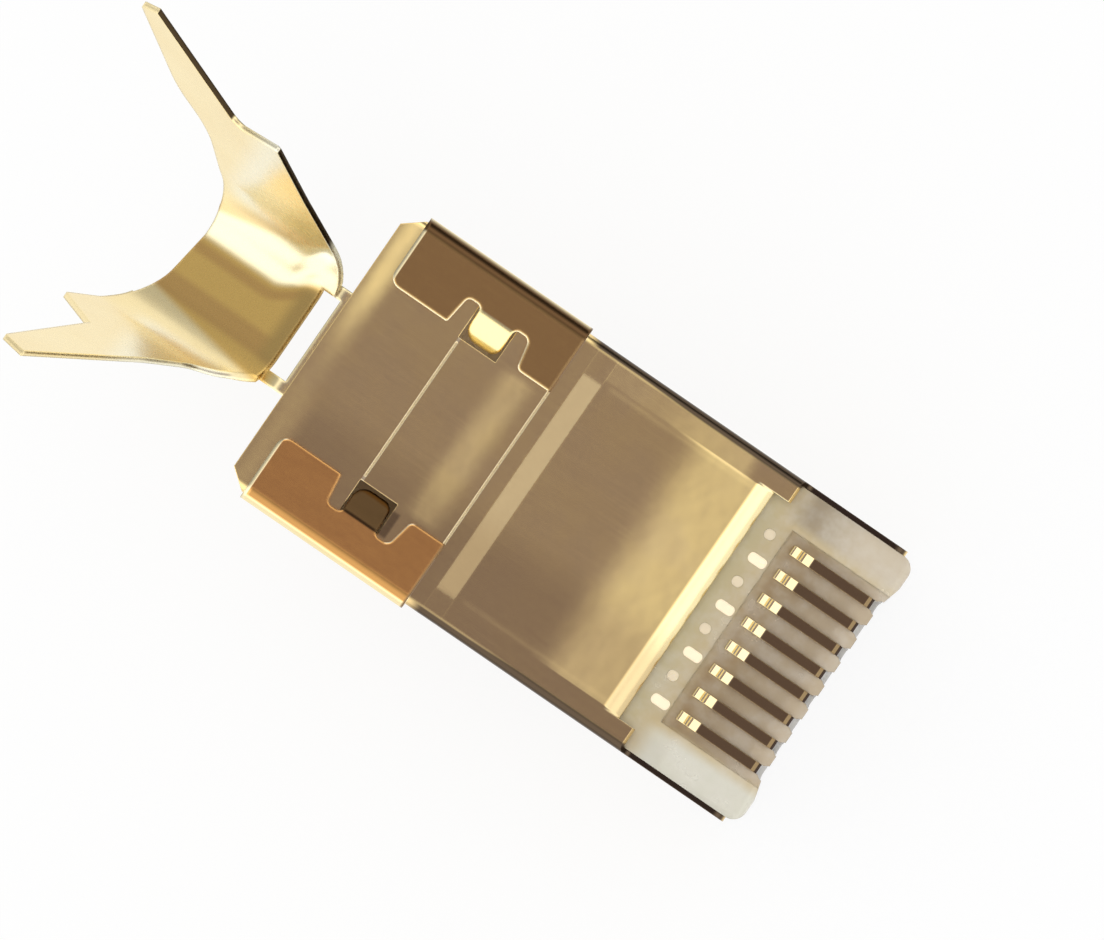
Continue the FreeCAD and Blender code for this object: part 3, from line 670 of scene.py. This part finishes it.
def clear_plastic(color):
    """Clear moulded plastic, a little milky, painted warm over the contacts and gold sheet, with painted
    shade and glints.
    """
    material, tree, shader = new_material("Clear plastic")
    for name, value in (("Transmission Weight", 0.3), ("IOR", 1.45), ("Coat Weight", 0.3),
                        ("Coat Roughness", 0.08), ("Emission Strength", 0.5)):
        shader.inputs[name].default_value = value
    place = use_group(tree, "Level place")
    x, y, z = (place.outputs[axis] for axis in "XYZ")
    across = absolute(tree, y)
    cloud = add_node(tree, "ShaderNodeTexNoise", Vector=place.outputs["Place"], Scale=0.9, Detail=3.0,
                     Roughness=0.6).outputs["Fac"]

    milky = ease(tree, cloud, 0.35, 0.75, 0.0, 0.35)
    lining = product(tree, band(tree, x, *CAVITY_X, soft=1.0),
                     fade(tree, across, CAVITY_HALF, CAVITY_HALF + 0.1), band(tree, z, *CAVITY_Z, soft=0.05))
    face = product(tree, ease(tree, z, FACE_Z - 0.9, FACE_Z - 0.4), ease(tree, x, LIP_X[0] - 0.5, LIP_X[0]))
    # painted shade on the plastic seen in the flaps' windows, deeper on the lower side
    window_shade = product(tree, band(tree, x, WINDOW_X[0] - 0.5, WINDOW_X[1] + 0.5, soft=0.1),
                     band(tree, across, 2.9, 4.6, soft=0.1), ease(tree, z, -0.8, -0.5))
    from_pocket = math_node(tree, "PINGPONG", y, PITCH / 2)
    # painted glints: the sight pockets are painted near white and made to glow
    pocket_glint = product(tree, ease(tree, from_pocket, PITCH / 2 - 0.26, PITCH / 2 - 0.16),
                     band(tree, x, *SIGHT_X, soft=0.1), fade(tree, across, *SIGHT_END_Y),
                     fade(tree, z, FACE_Z - 0.15, FACE_Z - 0.05), face)
    feed(tree, shader.inputs["Base Color"], paint(tree, mix_color(tree, milky, color, MILK), [
        (lining, CAVITY_LINING),
        (face, face_color(tree, x, y, across)),
        (window_shade, mix_color(tree, ease(tree, y, *HALVES_Y), WINDOW_SHADE_LOWER, WINDOW_SHADE_UPPER)),
        (product(tree, milky, face), MILK_ON_FACE),
        (pocket_glint, SIGHT_POCKET_GLINT)]))

    # the sight pockets glow: painted glints, long and short by turns
    turns = math_node(tree, "PINGPONG", math_node(tree, "SUBTRACT", y, PITCH / 2), PITCH)
    light = mix_color(tree, ease(tree, turns, PITCH / 3, 2 * PITCH / 3), SIGHT_GLOW_LONG, SIGHT_GLOW_SHORT)
    feed(tree, shader.inputs["Emission Color"], mix_color(tree, pocket_glint, BLACK, light))

    feed(tree, shader.inputs["Roughness"], ease(tree, cloud, 0.3, 0.7, 0.15, 0.28))
    rounded = add_node(tree, "ShaderNodeBevel", Radius=0.08 * MM)
    relief = add_node(tree, "ShaderNodeBump", Strength=1.0, Distance=MM, Height=product(tree, cloud, 0.05),
                      Normal=rounded.outputs["Normal"])
    feed(tree, shader.inputs["Normal"], relief.outputs["Normal"])
    arrange(tree)
    return material


def dress(names, material):
    """Give the material to CAD nodes."""
    for name in names:
        for slot in frame["nodes"][name].material_slots:
            slot.material = material


# ---- stage ----
def seen_directly(tree):
    """1 for what the camera, metal and clear plastic see, 0 for the light that falls on things."""
    rays = tree.nodes.new("ShaderNodeLightPath").outputs
    return chain(tree, "MAXIMUM", rays["Is Camera Ray"], rays["Is Transmission Ray"], rays["Is Glossy Ray"])


def make_floor(size):
    """A pale floor at the height the plug stands on."""
    bpy.ops.object.select_all(action="DESELECT")
    bpy.ops.mesh.primitive_plane_add(size=size, location=(0, 0, 0))
    floor = bpy.context.object
    floor.name = "floor"
    bpy.ops.object.transform_apply(location=True, rotation=True, scale=True)
    material, tree, shader = new_material("Pale floor")
    shader.inputs["Base Color"].default_value = (*FLOOR_TONE, 1)
    shader.inputs["Roughness"].default_value = 0.9
    shader.inputs["Specular IOR Level"].default_value = 0.0
    glow = add_node(tree, "ShaderNodeEmission", Color=(*WHITE, 1), Strength=1.0)
    share = product(tree, seen_directly(tree), FLOOR_SHARE)
    output = next(node for node in tree.nodes if node.type == "OUTPUT_MATERIAL")
    feed(tree, output.inputs["Surface"], mix_shaders(tree, share, shader.outputs[0], glow.outputs[0]))
    arrange(tree)
    floor.data.materials.append(material)


def light_world(scene):
    """Soft studio round the plug: plain light on matt things, and for metal a dim ceiling over pale walls."""
    world = bpy.data.worlds.new("Studio")
    scene.world = world
    world.use_nodes = True
    tree = world.node_tree
    tree.nodes.clear()
    towards = tree.nodes.new("ShaderNodeTexCoord").outputs["Generated"]
    front, side, height = (dot(tree, towards, direction(*way)) for way in ((1, 0, 0), (0, 1, 0), (0, 0, 1)))
    tilt = math_node(tree, "ARCCOSINE", height)
    walls = ease(tree, tilt, *WALL_TILT, CEILING, WALLS)
    upper = ease(tree, side, 0.7, 0.95, 1.0, UPPER_WALL)
    behind = product(tree, fade(tree, front, -0.85, -0.5), ease(tree, side, -0.45, -0.1))
    rear = math_node(tree, "MULTIPLY_ADD", behind, REAR_WALL, 1.0)
    tint = mix_color(tree, ease(tree, tilt, *TINT_TILT), CEILING_TINT, WHITE)
    studio = add_node(tree, "ShaderNodeBackground", Color=tint, Strength=product(tree, walls, upper, rear))
    plain = add_node(tree, "ShaderNodeBackground", Color=(*WHITE, 1), Strength=1.0)
    glossy = tree.nodes.new("ShaderNodeLightPath").outputs["Is Glossy Ray"]
    light = mix_shaders(tree, glossy, plain.outputs[0], studio.outputs[0])
    add_node(tree, "ShaderNodeOutputWorld", Surface=light)
    arrange(tree)


def place_camera(scene, lens):
    """Camera square to the contact side, with the plug's length running down to the right."""
    camera_data = bpy.data.cameras.new("camera")
    camera_data.lens = lens
    camera_data.sensor_width = SENSOR_WIDTH
    camera = bpy.data.objects.new("camera", camera_data)
    scene.collection.objects.link(camera)
    right = direction(math.cos(VIEW_TURN), math.sin(VIEW_TURN), 0)
    up = direction(-math.sin(VIEW_TURN), math.cos(VIEW_TURN), 0)
    back = direction(0, 0, 1)
    distance = VIEW_WIDTH * MM * lens / SENSOR_WIDTH
    place = LEVEL @ VIEW_CENTRE + back * distance
    camera.matrix_world = Matrix.Translation(place) @ Matrix((right, up, back)).transposed().to_4x4()
    camera_data.clip_start = distance / 20
    camera_data.clip_end = 20.0
    scene.camera = camera


# ---- settings ----
class PlugFinish(bpy.types.PropertyGroup):
    """Colours and finishes of the plug."""
    gold: FloatVectorProperty(
        name="Gold", description="Gold plating of the clamp and contacts", subtype="COLOR", size=3,
        min=0.0, max=1.0, default=(1.0, 0.84, 0.48))
    sheet: FloatVectorProperty(
        name="Sheet", description="Plating of the contact-side sheet", subtype="COLOR", size=3,
        min=0.0, max=1.0, default=(0.98, 0.73, 0.32))
    plastic: FloatVectorProperty(
        name="Plastic", description="Tint of the clear housing", subtype="COLOR", size=3,
        min=0.0, max=1.0, default=(0.92, 0.90, 0.86))


class PlugStage(bpy.types.PropertyGroup):
    """Floor and camera."""
    floor_size: FloatProperty(
        name="Floor", description="Width of the floor", subtype="DISTANCE", unit="LENGTH", default=4.0)
    lens: FloatProperty(name="Lens", description="Focal length in millimetres", default=600.0)


# ---- operators ----
class PLUG_OT_finish_shell(bpy.types.Operator):
    """Gold plating for the contact-side sheet, the bracket with its clamp, and the contacts"""
    bl_idname = "plug.finish_shell"
    bl_label = "Finish the Gold Pieces"

    def execute(self, context):
        settings = context.scene.plug_finish
        gold = tuple(settings.gold)
        dress(["contact_side_shield"], sheet_material(tuple(settings.sheet)))
        dress(["cable_bracket"], bracket_material(gold))
        dress(CONTACTS, contact_material(gold))
        return {"FINISHED"}


class PLUG_OT_finish_plastic(bpy.types.Operator):
    """Clear plastic for the housing, the latch and the load bar"""
    bl_idname = "plug.finish_plastic"
    bl_label = "Finish the Clear Pieces"

    def execute(self, context):
        settings = context.scene.plug_finish
        dress(["housing", "latch_lever", "load_bar"], clear_plastic(tuple(settings.plastic)))
        return {"FINISHED"}


class PLUG_OT_stage(bpy.types.Operator):
    """Pale floor, soft light and the camera over the contact side"""
    bl_idname = "plug.stage"
    bl_label = "Set the Stage"

    def execute(self, context):
        settings = context.scene.plug_stage
        make_floor(settings.floor_size)
        light_world(context.scene)
        place_camera(context.scene, settings.lens)
        context.scene.view_settings.view_transform = "Standard"
        return {"FINISHED"}


class PLUG_PT_panel(bpy.types.Panel):
    """Settings of the plug and its stage, and the steps that use them"""
    bl_idname = "PLUG_PT_panel"
    bl_label = "Modular Plug"
    bl_space_type = "VIEW_3D"
    bl_region_type = "UI"
    bl_category = "Modular Plug"

    def draw(self, context):
        column = self.layout.column()
        for name in ("gold", "sheet", "plastic"):
            column.prop(context.scene.plug_finish, name)
        for name in ("floor_size", "lens"):
            column.prop(context.scene.plug_stage, name)
        for operator in OPERATORS:
            column.operator(operator.bl_idname)


OPERATORS = (PLUG_OT_finish_shell, PLUG_OT_finish_plastic, PLUG_OT_stage)
CLASSES = (PlugFinish, PlugStage) + OPERATORS + (PLUG_PT_panel,)


def register():
    """Make the settings, operators and panel known to Blender."""
    for item in CLASSES:
        bpy.utils.register_class(item)
    bpy.types.Scene.plug_finish = PointerProperty(type=PlugFinish)
    bpy.types.Scene.plug_stage = PointerProperty(type=PlugStage)


def unregister():
    """Undo register."""
    del bpy.types.Scene.plug_stage
    del bpy.types.Scene.plug_finish
    for item in reversed(CLASSES):
        bpy.utils.unregister_class(item)


def main():
    """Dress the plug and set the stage."""
    register()
    bpy.ops.plug.stage()
    bpy.ops.plug.finish_shell()
    bpy.ops.plug.finish_plastic()


if __name__ == "__main__":
    main()
